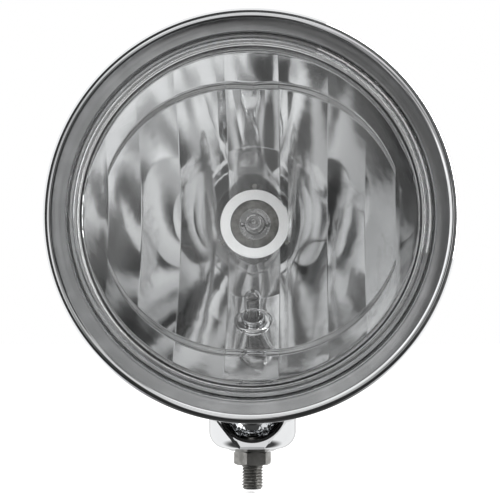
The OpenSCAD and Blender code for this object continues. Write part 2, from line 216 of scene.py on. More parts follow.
# %% [markdown]
# ## Writing finishes as sums
# A material is a graph of nodes. Written by hand it is long and hard to read, so a small
# class wraps one output socket and lets Python's own operators add the Math nodes. Every
# other node comes from one method that takes its type, its settings and its sockets. The
# same class serves the materials and, at the end, the world round the lamp.


# %% A wire and a graph
class Wire:
    """One output of a node; arithmetic on it adds Math nodes."""

    def __init__(self, graph, socket):
        self.graph = graph
        self.socket = socket

    def output(self, name):
        return Wire(self.graph, self.socket.node.outputs[name])

    def math(self, operation, *others):
        return self.graph.math(operation, self, *others)

    def __add__(self, other):
        return self.math("ADD", other)

    def __radd__(self, other):
        return self.math("ADD", other)

    def __sub__(self, other):
        return self.math("SUBTRACT", other)

    def __rsub__(self, other):
        return self.graph.math("SUBTRACT", other, self)

    def __mul__(self, other):
        return self.math("MULTIPLY", other)

    def __rmul__(self, other):
        return self.math("MULTIPLY", other)


class Graph:
    """The nodes of a material or a world, which start from nothing."""

    def __init__(self, owner):
        owner.use_nodes = True
        self.owner = owner
        self.tree = owner.node_tree
        self.tree.nodes.clear()

    def add(self, kind, settings=None, sockets=None):
        node = self.tree.nodes.new("ShaderNode" + kind)
        for key, value in (settings or {}).items():
            setattr(node, key, value)
        for key, value in (sockets or {}).items():
            if isinstance(value, Wire):
                self.tree.links.new(value.socket, node.inputs[key])
            else:
                node.inputs[key].default_value = value
        return Wire(self, node.outputs[0])

    def math(self, operation, *values):
        return self.add("Math", {"operation": operation}, dict(enumerate(values)))

    def vector(self, operation, *values):
        return self.add("VectorMath", {"operation": operation}, dict(enumerate(values)))

    def place(self):
        return self.add("TexCoord").output("Object")

    def noise(self, scale, detail=3.0, stretch=(1, 1, 1), roughness=0.55):
        spot = self.vector("MULTIPLY", self.place(), stretch)
        return self.add("TexNoise", {}, {"Vector": spot, "Scale": scale, "Detail": detail,
                                         "Roughness": roughness})

    def steps(self, value, low, high):
        """0 below low, 1 above high, smooth between."""
        return self.add("MapRange", {"interpolation_type": "SMOOTHSTEP"},
                        {"Value": value, "From Min": low, "From Max": high}).output("Result")

    def band(self, value, low, high, soft=0.0002):
        """1 between low and high, 0 outside."""
        return self.steps(value, low, low + soft) - self.steps(value, high, high + soft)

    def from_axis(self):
        """Distance from the lamp's axis."""
        offset = self.vector("SUBTRACT", self.place(), (0, 0, AXIS_Z))
        flat = self.vector("MULTIPLY", offset, (1, 0, 1))
        return self.vector("LENGTH", flat).output("Value")

    def mix(self, factor, first, second):
        node = self.add("Mix", {"data_type": "RGBA"}, {0: factor, 6: first, 7: second})
        return Wire(self, node.socket.node.outputs[2])

    def bump(self, height, distance, strength=1.0):
        return self.add("Bump", {}, {"Height": height, "Distance": distance, "Strength": strength})

    def principled(self, **sockets):
        named = {key.replace("_", " "): value for key, value in sockets.items()}
        return self.add("BsdfPrincipled", {}, named)

    def finish(self, shader, output="OutputMaterial"):
        node = self.tree.nodes.new("ShaderNode" + output)
        self.tree.links.new(shader.socket, node.inputs["Surface"])
        return self.owner


# %% [markdown]
# ## Chrome
# Chrome plate is nearly a perfect mirror. What tells it from a computer's mirror is small:
# the buffed steel below leaves a very slow wave, and handling leaves faint cloudy patches.
# Both come from noise in the piece's own space, so they stay on the metal as it moves.


# %% Chrome plate
def chrome(name, tint, haze, wave):
    g = Graph(bpy.data.materials.new(name))
    clouds = g.noise(22, 4)
    wipes = g.noise(160, 3, (1, 0.25, 1))
    roughness = haze + g.steps(clouds, 0.45, 0.75) * 0.03 + g.steps(wipes, 0.62, 0.8) * 0.02
    dull = tuple(0.93 * channel for channel in tint)
    color = g.mix(g.steps(clouds, 0.35, 0.8), (*tint, 1), (*dull, 1))
    ripple = g.bump(g.noise(38, 1), wave)
    return g.finish(g.principled(Base_Color=color, Metallic=1.0, Roughness=roughness, Normal=ripple))


chrome_bezel = chrome("chrome on the bezel", (0.86, 0.87, 0.88), 0.03, 0.00002)
chrome_shell = chrome("chrome on the bowl", (0.84, 0.85, 0.86), 0.04, 0.00004)
chrome_cup = chrome("chrome on the foot", (0.84, 0.85, 0.86), 0.03, 0.00002)
chrome_socket = chrome("bright plate on the socket", (0.74, 0.75, 0.76), 0.07, 0.00003)
print("four chrome finishes")

# %% [markdown]
# ## Dull plated steel, wire and brass
# The nut and stud are zinc plated and left as they are: grey-beige, with a soft grain,
# brighter where a spanner has rubbed. The same recipe with other numbers gives the satin
# nickel of the bulb's flange, the spring wire, the brass terminals and the tungsten.


# %% Plated metals
def plated(name, fresh, worn, smooth, rough, grain, stretch=(1, 1, 1)):
    g = Graph(bpy.data.materials.new(name))
    bloom = g.noise(240, 5, stretch)
    patches = g.noise(55, 2)
    mask = g.steps(bloom * 0.6 + patches * 0.4, 0.38, 0.62)
    color = g.mix(mask, (*fresh, 1), (*worn, 1))
    roughness = smooth + mask * (rough - smooth)
    pits = g.bump(g.noise(1500, 2, stretch), grain)
    return g.finish(g.principled(Base_Color=color, Metallic=1.0, Roughness=roughness, Normal=pits))


zinc_steel = plated("zinc on steel", (0.36, 0.355, 0.34), (0.24, 0.235, 0.225), 0.3, 0.46, 0.00003)
satin_nickel = plated("satin nickel", (0.66, 0.66, 0.66), (0.52, 0.52, 0.52), 0.2, 0.34, 0.00001)
spring_steel = plated("spring wire", (0.66, 0.62, 0.50), (0.50, 0.47, 0.40), 0.22, 0.36, 0.00001)
brass = plated("brass", (0.84, 0.66, 0.30), (0.66, 0.48, 0.20), 0.2, 0.36, 0.00001)
tungsten = plated("tungsten", (0.32, 0.31, 0.30), (0.20, 0.20, 0.20), 0.3, 0.5, 0.00001)
print("five plated metals")

# %% [markdown]
# ## Rubber, plastic and insulation
# Moulded rubber is dark and matt with a powdery bloom and a fine tooth. The lead's
# insulation and the connector's plastic are smoother and keep a soft shine.


# %% Moulded finishes
def moulded(name, color, bloom, smooth, rough, tooth):
    g = Graph(bpy.data.materials.new(name))
    dust = g.steps(g.noise(90, 5), 0.45, 0.75)
    shade = g.mix(dust, (*color, 1), (*bloom, 1))
    skin = g.bump(g.noise(1800, 2), tooth)
    roughness = smooth + dust * (rough - smooth)
    return g.finish(g.principled(Base_Color=shade, Roughness=roughness, Normal=skin))


black_rubber = moulded("black rubber", (0.012, 0.012, 0.012), (0.035, 0.034, 0.033), 0.4, 0.65, 0.00003)
grey_rubber = moulded("grey rubber", (0.16, 0.16, 0.162), (0.21, 0.21, 0.212), 0.55, 0.75, 0.00003)
red_insulation = moulded("red insulation", (0.42, 0.03, 0.02), (0.34, 0.04, 0.03), 0.3, 0.45, 0.00001)
black_insulation = moulded("black insulation", (0.02, 0.02, 0.02), (0.04, 0.04, 0.04), 0.3, 0.45, 0.00001)
brown_insulation = moulded("brown insulation", (0.17, 0.07, 0.03), (0.13, 0.06, 0.03), 0.3, 0.45, 0.00001)
connector_plastic = moulded("connector plastic", (0.72, 0.70, 0.62), (0.64, 0.61, 0.52), 0.35, 0.5, 0.00001)
print("six moulded finishes")

# %% [markdown]
# ## Reflector
# The dish is lacquered steel with a film of aluminium on top: a bright mirror that is a
# touch softer than chrome. The flat land round the bulb and the outer flange catch less of
# the film and look satin. Painted shade darkens the grooves beside the flange's bead, the
# flange outside them and the rim of the bulb's hole. Distance from the lamp's axis picks
# them all out.


# %% Aluminised mirror
def aluminised(name):
    g = Graph(bpy.data.materials.new(name))
    radius = g.from_axis()
    land = 1 - g.steps(radius, 0.0206, 0.0210)
    # painted shade: everything within 14.5 mm of the axis, the rim and wall of the bulb's hole, is painted
    # near black
    edge = 1 - g.steps(radius, 0.0145, 0.0148)
    flange = g.steps(radius, 0.0946, 0.0950)
    satin = g.math("MAXIMUM", land * 0.9, flange * 0.2)
    mist = g.steps(g.noise(30, 4), 0.4, 0.75)
    specks = g.steps(g.noise(700, 2), 0.66, 0.74)
    roughness = 0.045 + mist * 0.035 + satin * 0.3 + specks * 0.05
    color = g.mix(satin, (0.86, 0.865, 0.87, 1), (0.93, 0.93, 0.93, 1))
    # painted shade: near-black bands over the groove beside the flange's bead, over the bead's far side,
    # and over the outer flange beyond 102.6 mm
    painted_shade_bands = g.band(radius, 0.0944, 0.0958) + g.band(radius, 0.0979, 0.0992) + g.steps(radius, 0.1026, 0.1030)
    color = g.mix(flange, color, (0.9, 0.9, 0.9, 1))
    # the painted shade goes on over the mirror's colour
    color = g.mix(painted_shade_bands, color, (0.04, 0.04, 0.042, 1))
    # painted shade at the rim of the bulb's hole
    color = g.mix(edge, color, (0.05, 0.05, 0.05, 1))
    flow = g.bump(g.noise(45, 2), 0.00006)
    return g.finish(g.principled(Base_Color=color, Metallic=1.0 - satin * 0.7, Roughness=roughness,
                                 Normal=flow))


reflector_mirror = aluminised("aluminised mirror")

# %% [markdown]
# ## Glass
# Glass is a refracting shader. Lamps could not shine through it in a reasonable time, so
# rays that only ask whether a lamp is hidden pass straight through. The pressed lens is
# clear in the middle and slightly rough on the knurled flange.


# %% Clear glass
def glass(name, tint, rough_from, haze):
    g = Graph(bpy.data.materials.new(name))
    smears = g.steps(g.noise(35, 4), 0.5, 0.8)
    roughness = smears * 0.012
    if rough_from:
        roughness = roughness + g.steps(g.from_axis(), rough_from, rough_from + 0.001) * haze
    press = g.bump(g.noise(30, 1), 0.00002)
    clear = g.principled(Base_Color=(*tint, 1), Roughness=roughness, IOR=1.5,
                         Transmission_Weight=1.0, Normal=press)
    lamp_ray = g.add("LightPath").output("Is Shadow Ray")
    passing = g.add("BsdfTransparent", {}, {"Color": (*tint, 1)})
    return g.finish(g.add("MixShader", {}, {0: lamp_ray, 1: clear, 2: passing}))


lens_glass = glass("pressed lens glass", (0.985, 0.99, 0.99), 0.1035, 0.12)
bulb_glass = glass("bulb glass", (0.99, 0.99, 0.99), 0, 0)
print("a mirror and two kinds of glass")

# %% [markdown]
# ## Foot: stud, nut and swivel cup
# The stud is an M12 bolt that stands head up in the ball. Its thread is a real helix: the
# radius rises and falls with height, and the wave climbs one pitch in a turn. The nut is a
# hexagon trimmed by a turned blank, which gives the curved chamfers of a real nut.

# %% Threaded stud
STUD_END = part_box("mounting_stud")[0].z / MM
STUD_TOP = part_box("mounting_stud")[1].z / MM
THREAD_R = 6.0
THREAD_DEPTH = 0.95
PITCH = 1.75
THREAD_TOP = -0.7
SHANK_R = 5.75
HEAD_H = 7.5
THREAD_ROWS = 96


def thread(row, column, radius, height):
    """Sharp waves that climb one pitch in a turn, faded at both ends of the thread."""
    if row == 0 or row > THREAD_ROWS + 1:
        return radius, height
    wave = (height / PITCH - column / STUD_SEGMENTS) % 1
    valley = 1 - min(1, 2.6 * abs(wave - 0.5))
    fade = min(1, (THREAD_TOP - height) / 1.2)
    chamfer = THREAD_R - max(0, 1.2 - (height - STUD_END))
    return min(THREAD_R - THREAD_DEPTH * valley * fade, chamfer), height


STUD_SEGMENTS = 96
rows = [(THREAD_R, STUD_END + (THREAD_TOP - STUD_END) * i / THREAD_ROWS) for i in range(THREAD_ROWS + 1)]
stud = turned("stud", [(0, STUD_END)] + rows
              + [(SHANK_R, THREAD_TOP + 0.2), (SHANK_R, STUD_TOP - HEAD_H), (SHANK_R, STUD_TOP - 1),
                 (0, STUD_TOP - 1)],
              STUD, STUD_SEGMENTS, False, thread)
hexagon = arc((0, 0), (11, 11), 0, 300, 5)
head = prism("head", hexagon, STUD, STUD_TOP - HEAD_H, STUD_TOP)
fit(join(stud, head), zinc_steel, "stud", ["mounting_stud"], 40)

# %% Clamp nut
NUT_ACROSS = 19.0
nut_top = NUT_H - 0.05
nut_corner = NUT_ACROSS / math.sqrt(3)
hexagon = arc((0, 0), (nut_corner, nut_corner), 15, 315, 5)
nut = prism("nut", hexagon, STUD, 0, nut_top)
face_r = NUT_ACROSS / 2 - 0.2
blank = [(6.1, 0.7), (6.8, 0), (face_r, 0), (face_r + 2.2, 1.2), (face_r + 2.2, nut_top - 1.2),
         (face_r, nut_top), (6.8, nut_top), (6.1, nut_top - 0.7)]
nut = worked(nut, turned("blank", blank, STUD, 120), "INTERSECT")
fit(nut, zinc_steel, "stud", ["clamp_nut"], 25)

# %% [markdown]
# The cup is a chromed pressing, rounded below, with its top cut on a slant and a wide
# notch in front through which its rubber seat and the ball show. Both parts are turned
# first and then cut with the same kind of blocks.

# %% Swivel cup and its rubber seat
CUP_R = 25.0
CUP_TOP = 20.5
CUP_CORNER = 10.0
BALL_Z = 24.5
SEAT_OUT = 21.3
SEAT_IN = 19.8
BORE_R = 5.85


def slant_block(name):
    """What is cut away above the slanting top of the cup."""
    side = Matrix(((0, 0, 1, 0), (1, 0, 0, 0), (0, 1, 0, NUT_H), (0, 0, 0, 1)))
    outline = [(-40, 15), (-CUP_R, 15), (2, CUP_TOP), (40, CUP_TOP), (40, 45), (-40, 45)]
    return prism(name, outline, side, -40, 40)


def notch_block(name, half_top, half_mid, half_low, low, mid):
    """What is cut away for the notch in the front, narrower below than above."""
    front = FOOT @ Matrix.Rotation(math.pi / 2, 4, "X")
    right = arc((half_mid - 4, mid + 1), (4, 4), -70, -20, 4)
    outline = [(half_low, low)] + right + [(half_top, CUP_TOP + 4)]
    mirrored = [(-x, y) for x, y in reversed(outline)]
    return prism(name, outline + mirrored, front, 8, 40)


def ball_arc(radius, start, end, count):
    """Points round the ball's centre; 90 degrees is straight below it."""
    return [(radius * math.cos(math.radians(a)), BALL_Z - radius * math.sin(math.radians(a)))
            for a in [start + (end - start) * i / count for i in range(count + 1)]]


def slope_at(radius, level):
    """Angle round the ball's centre at which a circle of that radius reaches a level."""
    return math.degrees(math.asin((BALL_Z - level) / radius))


cup_outline = ([(BORE_R, 0), (12.5, 0), (CUP_R - CUP_CORNER, 1.2)]
               + arc((CUP_R - CUP_CORNER, CUP_CORNER + 1.3), (CUP_CORNER, CUP_CORNER), -86, 0, 24)
               + [(CUP_R, CUP_TOP + 1)]
               + ball_arc(SEAT_OUT, slope_at(SEAT_OUT, CUP_TOP + 1),
                          math.degrees(math.acos(BORE_R / SEAT_OUT)), 30))
cup = turned("swivel_cup_chromed", cup_outline, FOOT, 288)
cup = cut(cup, slant_block("slant"))
cup = cut(cup, notch_block("notch", 26, 11.8, 7, 1.9, 7.7))
fit(cup, chrome_cup, "foot", ["swivel_cup"], 24)

seat_outline = (ball_arc(SEAT_OUT - 0.02, slope_at(SEAT_OUT, 16.5), 73, 30)
                + ball_arc(SEAT_IN, 73, slope_at(SEAT_IN, 16.5), 30))
seat = turned("ball_seat", seat_outline, FOOT, 288)
seat = cut(seat, slant_block("slant"))
seat = cut(seat, notch_block("notch", 24.5, 10, 3, 4, 7.6))
fit(seat, black_rubber, "foot", ["seat_liner"], 24)

# %% [markdown]
# ## Bowl
# The bowl is spun from one sheet. Its outline falls from the skirt under the bezel to a
# flat back. A ball pressed in its underside sits in the foot, and a slot in the ball lets
# it tilt over the stud. Turned solids joined and cut by Booleans give clean seams.

# %% Housing bowl
SKIRT_END = 24.0
BOWL_R = 111.0
BACK_R = 34.0
HOUSING_S = 14.3
BACK_S = (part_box("housing_shell")[1].y - FRONT_Y) / MM
SHEET = 1.2
BALL_R = 19.5
SLOT_HALF = 6.35
SLOT_SIDE = math.radians(15 + math.degrees(math.asin(SLOT_HALF / (BALL_R - 1.5))))
GROMMET_DROP = 19.0


def bowl_outline(mouth, back, end, start):
    """From the middle of the mouth, back along the bowl, to the middle of the back."""
    points = [(0, start), (mouth, start)]
    for i in range(65):
        depth = end - (end - SKIRT_END) * (1 - i / 64) ** 2 if i else SKIRT_END
        reach = (depth - SKIRT_END) / (end - SKIRT_END)
        points.append((back + (mouth - back) * max(0, 1 - reach**1.5) ** 0.6, depth))
    return points + [(0, end)]


def ball(name, radius):
    outline = [(radius * math.sin(a), BALL_Z - radius * math.cos(a))
               for a in [math.pi * i / 48 for i in range(49)]]
    return turned(name, outline, FOOT, 128, False)


shell = turned("bowl", bowl_outline(BOWL_R, BACK_R, BACK_S, HOUSING_S), LAMP, 288, False)
shell = join(shell, ball("ball", BALL_R))
inside = bowl_outline(BOWL_R - SHEET, BACK_R - 1, BACK_S - SHEET, HOUSING_S - 1)
shell = cut(shell, turned("inside", inside, LAMP, 288, False))
shell = cut(shell, ball("hollow", BALL_R - 1.5))
reach = BALL_R + 6
slot_outline = [(0, 0), (-reach * math.sin(SLOT_SIDE), -reach * math.cos(SLOT_SIDE)),
                (reach * math.sin(SLOT_SIDE), -reach * math.cos(SLOT_SIDE))]
across = Matrix(((0, 0, 1, 0), (1, 0, 0, 0), (0, 1, 0, NUT_H + BALL_Z), (0, 0, 0, 1)))
shell = cut(shell, prism("slot", slot_outline, across, -SLOT_HALF, SLOT_HALF))
entry = LAMP @ Matrix.Translation((0, GROMMET_DROP, 0))
shell = cut(shell, turned("entry", [(0, BACK_S - 5), (6.5, BACK_S - 5), (6.5, BACK_S + 5), (0, BACK_S + 5)],
                          entry, 64, False))
fit(shell, chrome_shell, "head", ["housing_shell"], 30)

# %% [markdown]
# ## Bezel ring and its screws
# The bezel is rolled from chromed sheet: a narrow slope faces inwards, a slow curve crowns
# the ring, and a tight one turns it back. They draw the white and black lines round the
# lamp. Then come a small shoulder and a straight skirt over the bowl.

# %% Bezel
BEAD_R = 2.6
BEZEL_END = 22.0
SKIRT_R = BEZEL_R - 2.7
LIP_S = 5.0
bead = (BEZEL_R - BEAD_R, BEAD_R)
inner_bead = BEAD_R - SHEET
CROWN_R = 5.0
CROWN_TILT = 31
crown_end = BEZEL_R - 0.7
edge_r = 0.7 / (1 - math.sin(math.radians(CROWN_TILT)))
crown_middle = crown_end - CROWN_R * math.sin(math.radians(CROWN_TILT))
edge_s = CROWN_R - (CROWN_R - edge_r) * math.cos(math.radians(CROWN_TILT))
bezel_outline = ([(bead[0] - BEAD_R, LIP_S), (bead[0] - BEAD_R, 0.66)]
                 + arc((crown_middle, CROWN_R), (CROWN_R, CROWN_R), 258, 270 + CROWN_TILT, 20)
                 + arc((BEZEL_R - edge_r, edge_s), (edge_r, edge_r), 273 + CROWN_TILT, 360, 12)
                 + arc((SKIRT_R, 6.6), (2.7, 2.7), 0, 90, 14)
                 + [(SKIRT_R, 10), (SKIRT_R, BEZEL_END - 0.4), (SKIRT_R - 0.3, BEZEL_END),
                    (SKIRT_R - 0.8, BEZEL_END), (SKIRT_R - 1, BEZEL_END - 0.3), (SKIRT_R - 1, 8.3),
                    (BEZEL_R - SHEET, 6.2)]
                 + arc(bead, (inner_bead, inner_bead), 360, 180, 20)
                 + [(bead[0] - inner_bead, LIP_S)])
bezel = turned("bezel", bezel_outline, LAMP, 480)
fit(bezel, chrome_bezel, "head", ["bezel_ring"], 40)

# %% Bezel screws
SCREW_S = 19.2
SCREW_TURNS = (-90, 30, 150)
screw_outline = ([(0, -8), (1.6, -8), (1.95, -7.6), (1.95, 0), (3.4, 0), (3.4, 0.6)]
                 + arc((0, 0.6), (3.4, 1.25), 8, 90, 10))
for number, turn in enumerate(SCREW_TURNS, 1):
    radial = LAMP @ Matrix.Rotation(math.radians(turn), 4, "Z")
    radial = radial @ Matrix.Translation((SKIRT_R + 0.02, 0, SCREW_S))
    radial = radial @ Matrix.Rotation(math.pi / 2, 4, "Y")
    screw = turned(f"bezel_screw_{number}", screw_outline, radial, 64, False)
    screw = cut(screw, prism("slot", [(-0.45, -4), (0.45, -4), (0.45, 4), (-0.45, 4)], radial, 0.9, 3))
    fit(screw, zinc_steel, "head", ["bezel_screws"], 30)

# %% [markdown]
# ## Lens
# The lens is pressed glass: a shallow crown, a round shoulder, and a flange that the bezel
# grips. The mould left fine radial teeth near the edge of the flange and inside the
# shoulder. They are real geometry here, because a bump can't bend light through the glass.

# %% Lens
SHOULDER_R = 103.0
LENS_BULGE = 8.0
LENS_T = 3.2
FLANGE_BACK = LIP_S + 3.5
CLAMPED_R = 110.9
CROWN = 3.4
TEETH = 360


def lens_curve(shoulder, foot, top, run):
    """From the foot of the shoulder to the middle of the crown."""
    rise = foot - top - CROWN
    flat = shoulder - run
    crown = [(flat * (1 - i / 24), top + CROWN * (1 - i / 24) ** 2 - 0.05) for i in range(1, 25)]
    return arc((flat, foot), (run, rise), 0, -80, 24) + crown


flange = [(CLAMPED_R, FLANGE_BACK), (CLAMPED_R, LIP_S + 0.2), (110.2, LIP_S), (107.4, LIP_S),
          (107.0, LIP_S + 0.15), (106.0, LIP_S + 0.15), (105.4, LIP_S - 0.25), (104.7, LIP_S - 0.25),
          (104.1, LIP_S + 0.1)]
outer = lens_curve(SHOULDER_R, LIP_S, -LENS_BULGE, 8.0)
inner = lens_curve(SHOULDER_R - LENS_T, FLANGE_BACK, LENS_T - LENS_BULGE, 5.5)
lens_outline = flange + outer + inner[::-1]
inner_foot = len(lens_outline) - 1


def lens_teeth(row, column, radius, height):
    """Teeth on the flange's face near its edge, and on the foot of the inner shoulder."""
    side = 0.5 if column % 2 else -0.5
    if row in (2, 3):
        return radius, height + 0.45 * side + 0.2
    if inner_foot - 5 < row < inner_foot:
        return radius + 0.35 * side, height
    return radius, height


lens = turned("lens_glass_pressed", lens_outline, LAMP, 2 * TEETH, True, lens_teeth)
fit(lens, lens_glass, "head", ["lens"], 50)

# %% Lens seal
seal_back = FLANGE_BACK + 2
seal_outline = [(103.5, FLANGE_BACK + 0.02)] + [
    (104 + 0.9 * i, FLANGE_BACK + (0.02 if i % 2 else 0.25)) for i in range(8)] + [
    (CLAMPED_R, FLANGE_BACK + 0.02), (CLAMPED_R, seal_back), (103.5, seal_back)]
seal = turned("seal_ring", seal_outline, LAMP, 360)
fit(seal, grey_rubber, "head", ["lens_seal"], 30)

# %% [markdown]
# ## Reflector
# A plain paraboloid would throw a narrow beam. This one is divided into upright flutes,
# each a little hollow across, which spread the light sideways. Near the mouth the hollows
# get shallower in one step, except in the outermost flutes. The dish is a grid of upright
# columns that follow the flutes' edges, so every ridge is a clean line, and narrow strips
# beside each ridge round it off.

# %% Columns of the dish
FLUTE_EDGES = (0.0, 15.4, 43.6, 65.0, 81.6, MOUTH_R)
HOLLOWS = (1.3, 0.95, 0.45, 0.2, 0.08)
LAND_R = 20.4
HOLE_R = 14.4
RIDGE = 0.35
LAND_S = dish_depth(19.8)
LAST_FLUTE = len(HOLLOWS) - 1


def flute_of(x):
    """The number of the flute at x, and how far across it x lies, from -1 to 1."""
    for number, hollow in enumerate(HOLLOWS):
        if abs(x) <= FLUTE_EDGES[number + 1]:
            break
    if number == 0:
        return 0, x / FLUTE_EDGES[1]
    low = FLUTE_EDGES[number]
    high = FLUTE_EDGES[number + 1]
    return number, 2 * (abs(x) - low) / (high - low) - 1


def half_columns():
    """Places of the columns on one side, closer together beside each ridge."""
    places = {0.0, LAND_R}
    for low, high in zip(FLUTE_EDGES, FLUTE_EDGES[1:]):
        count = max(6, round((high - low) / 1.6))
        for i in range(count + 1):
            if high == MOUTH_R:
                places.add(round(low + (high - low) * math.sin(math.pi / 2 * i / count), 4))
            else:
                places.add(round(low + (high - low) * i / count, 4))
        if high < MOUTH_R:
            places.update((high - RIDGE, high + RIDGE))
    return sorted(places)


def hollow_depth(x, share):
    number, across = flute_of(x)
    return HOLLOWS[number] * share * (1 - across**2)


right_side = half_columns()
columns = [-x for x in reversed(right_side[1:])] + right_side
print(f"{len(columns)} columns in {2 * len(HOLLOWS) - 1} flutes")


# %% Rows of the dish
INNER_ROWS = 10
MIDDLE_ROWS = 22
RING_ROWS = 6
BAND_R = 45.0


def heights(x):
    """Heights above the lamp's axis where this column starts, steps and ends."""
    end = math.sqrt(max(0, MOUTH_R**2 - x**2))
    start = math.sqrt(max(0, LAND_R**2 - x**2))
    edge = 75.5 + 0.115 * abs(x)
    step = math.sqrt(max(edge**2 - x**2, (0.35 * end) ** 2))
    band = math.sqrt(max(BAND_R**2 - x**2, (start + 0.3 * (step - start)) ** 2))
    return start, band, step, end


def column_points(x, side):
    """Points of one column from the bulb hole out to the mouth, as (x, drop, depth)."""
    start, band, step, end = heights(x)
    points = []
    if abs(x) <= LAND_R:
        inward = HOLE_R / LAND_R
        points += [(x * inward, side * start * inward, LAND_S), (x, side * start, LAND_S)]
    outer_share = 1.0 if flute_of(x)[0] == LAST_FLUTE else 0.35
    stretches = ((start, band, INNER_ROWS, 0.7 if abs(x) < FLUTE_EDGES[1] else 1.0),
                 (band, step, MIDDLE_ROWS, 1.0), (step, end, RING_ROWS, outer_share))
    for low, high, count, share in stretches:
        for i in range(count + 1):
            height = low + (high - low) * i / count
            depth = dish_depth(math.hypot(x, height)) + hollow_depth(x, share)
            points.append((x, side * height, depth))
    return points


# %% Dish as a closed sheet
class Sheet:
    """Faces on shared points, which can then be closed with a back and edges."""

    def __init__(self):
        self.points = []
        self.faces = []
        self.known = {}

    def number(self, point):
        key = tuple(round(value, 4) for value in point)
        if key not in self.known:
            self.known[key] = len(self.points)
            self.points.append(Vector(point))
        return self.known[key]

    def face(self, *points):
        corners = list(dict.fromkeys(self.number(point) for point in points))
        if len(corners) > 2:
            self.faces.append(tuple(corners))

    def closed(self, name, place, thickness):
        """The sheet with a back that lies deeper, and with every free edge walled."""
        size = len(self.points)
        back = [point + Vector((0, 0, thickness)) for point in self.points]
        sides = {}
        for face in self.faces:
            for a, b in zip(face, face[1:] + face[:1]):
                sides[(a, b)] = True
        walls = [(b, a, a + size, b + size) for a, b in sides if (b, a) not in sides]
        backs = [tuple(corner + size for corner in reversed(face)) for face in self.faces]
        return solid(name, [place @ point for point in self.points + back], self.faces + backs + walls)


dish = Sheet()
for side in (1, -1):
    lines = [column_points(x, side) for x in columns]
    for left, right in zip(lines, lines[1:]):
        shared = min(len(left), len(right))
        left = left[-shared:]
        right = right[-shared:]
        for i in range(shared - 1):
            quad = (left[i], right[i], right[i + 1], left[i + 1])
            dish.face(*(quad if side == 1 else reversed(quad)))
reflector = dish.closed("reflector", LAMP, 1.8)
print(f"dish: {len(reflector.data.polygons)} faces")

# %% [markdown]
# The flange of the reflector has a row of small beads next to the mouth and a finer knurl
# further out. The pad of the side lamp and its hole are added the way a press would make
# them, at a right angle to the dish.

# %% Flange, side lamp pad and holes
rim_outline = ([(94.0, 12.2), (94.0, 10.9), (94.6, 10.4), (95.4, 10.4), (95.7, 11.0), (96.3, 11.0)]
               + arc((97.4, 11.0), (1.1, 1.0), 180, 360, 8)
               + [(98.9, 11.2), (100.1, 11.2), (100.4, 10.6), (102.5, 10.6), (102.9, 10.55),
                  (CLAMPED_R, 10.55), (CLAMPED_R, 12.2)])


BEAD_ROWS = range(8, 14)
KNURL_ROWS = (16, 17)


def rim_teeth(row, column, radius, height):
    """Beads on the half-round ring, and a shallower knurl on the ring outside it."""
    side = 0.5 if column % 2 else -0.5
    if row in BEAD_ROWS:
        return radius, height + 0.5 * side
    if row in KNURL_ROWS:
        return radius, height + 0.35 * side + 0.1
    return radius, height


reflector = join(reflector, turned("rim", rim_outline, LAMP, 2 * TEETH, True, rim_teeth))
PAD_R = 11.2
pad_outline = [(0, -2.5), (PAD_R + 0.6, -2.5), (PAD_R, 0.5), (PAD_R - 0.5, 1.0), (PAD_R - 2.4, 1.2),
               (8.6, 0.7), (0, 0.7)]
reflector = join(reflector, turned("pad", pad_outline, SIDE, 96, False))
hole = turned("hole", [(0, -9), (7, -9), (7, 9), (0, 9)], SIDE, 96, False)
reflector = cut(reflector, hole)
fit(reflector, reflector_mirror, "head", ["reflector"], 40)

# %% [markdown]
# ## Main bulb
# The halogen bulb is a tube of hard glass with a pinched foot and a tipped-off end, on a
# satin flange with two rivets. A coil of tungsten lies across the tube at the dish's focus.

# %% Main bulb
GLASS_R = 4.8
GLASS_TOP = 31.0


def tube_outline(radius, wall, foot, top, tip):
    """A glass tube with a round end and a small seal-off tip, open at its foot."""
    straight = top - tip - radius
    outside = [(radius, foot), (radius, straight)] + arc((0, straight), (radius, radius), 6, 72, 12)
    point = [(1.2, top - 0.5 * tip), (0.6, top - 0.1 * tip), (0, top)]
    within = arc((0, straight), (radius - wall, radius - wall), 90, 0, 14) + [(radius - wall, foot)]
    return outside + point + within


bulb = turned("main_bulb_tube", tube_outline(GLASS_R, 0.8, 1.1, GLASS_TOP, 2.2), BULB, 96)
fit(bulb, bulb_glass, "head", ["main_bulb_glass"], 60)

base_outline = [(0, -6), (4.2, -6), (4.6, -5.6), (4.6, -1), (11, -1), (11, -0.15), (10.8, 0), (8.8, 0),
                (8.5, -0.12), (6.5, -0.12), (6.3, 0), (6, 0.3), (6, 5.6), (5.7, 6), (4.95, 6),
                (4.95, 1), (0, 1)]
base = turned("main_bulb_flange", base_outline, BULB, 128, False)
for side in (-1, 1):
    rivet = BULB @ Matrix.Translation((side * 7.6, 0, 0))
    dome = [(0, -0.5), (1.6, -0.5), (1.6, 0)] + arc((0, 0), (1.6, 0.85), 0, 90, 8)
    base = join(base, turned("rivet", dome, rivet, 40, False))
fit(base, satin_nickel, "head", ["main_bulb_base"], 30)

# %% Filaments


def coil(half, radius, turns, lift, leg_foot):
    """A coil that lies across the bulb between two straight legs."""
    count = turns * 14
    line = [(-half, 0, leg_foot), (-half, 0, lift - radius - 1)]
    for i in range(count + 1):
        turn = 2 * math.pi * turns * i / count
        line.append((-half + 2 * half * i / count, radius * math.sin(turn), lift - radius * math.cos(turn)))
    return line + [(half, 0, lift - radius - 1), (half, 0, leg_foot)]


focus = SEAT - (VERTEX_S - FOCAL)
main_coil = wire("main_filament", coil(2.6, 0.7, 9, focus, 1.1), BULB, 0.13, 6)
fit(main_coil, tungsten, "head", ["main_bulb_filament"], 60)
side_coil = wire("side_filament", coil(2.2, 0.4, 8, 14, -1.9), SIDE, 0.09, 6)
fit(side_coil, tungsten, "head", ["side_bulb_filament"], 60)

# %% [markdown]
# ## Side lamp
# A small wedge bulb stands in a plated socket that is pressed into the dish below the main
# bulb. Its foot is pinched flat, and the socket has a rolled lip.

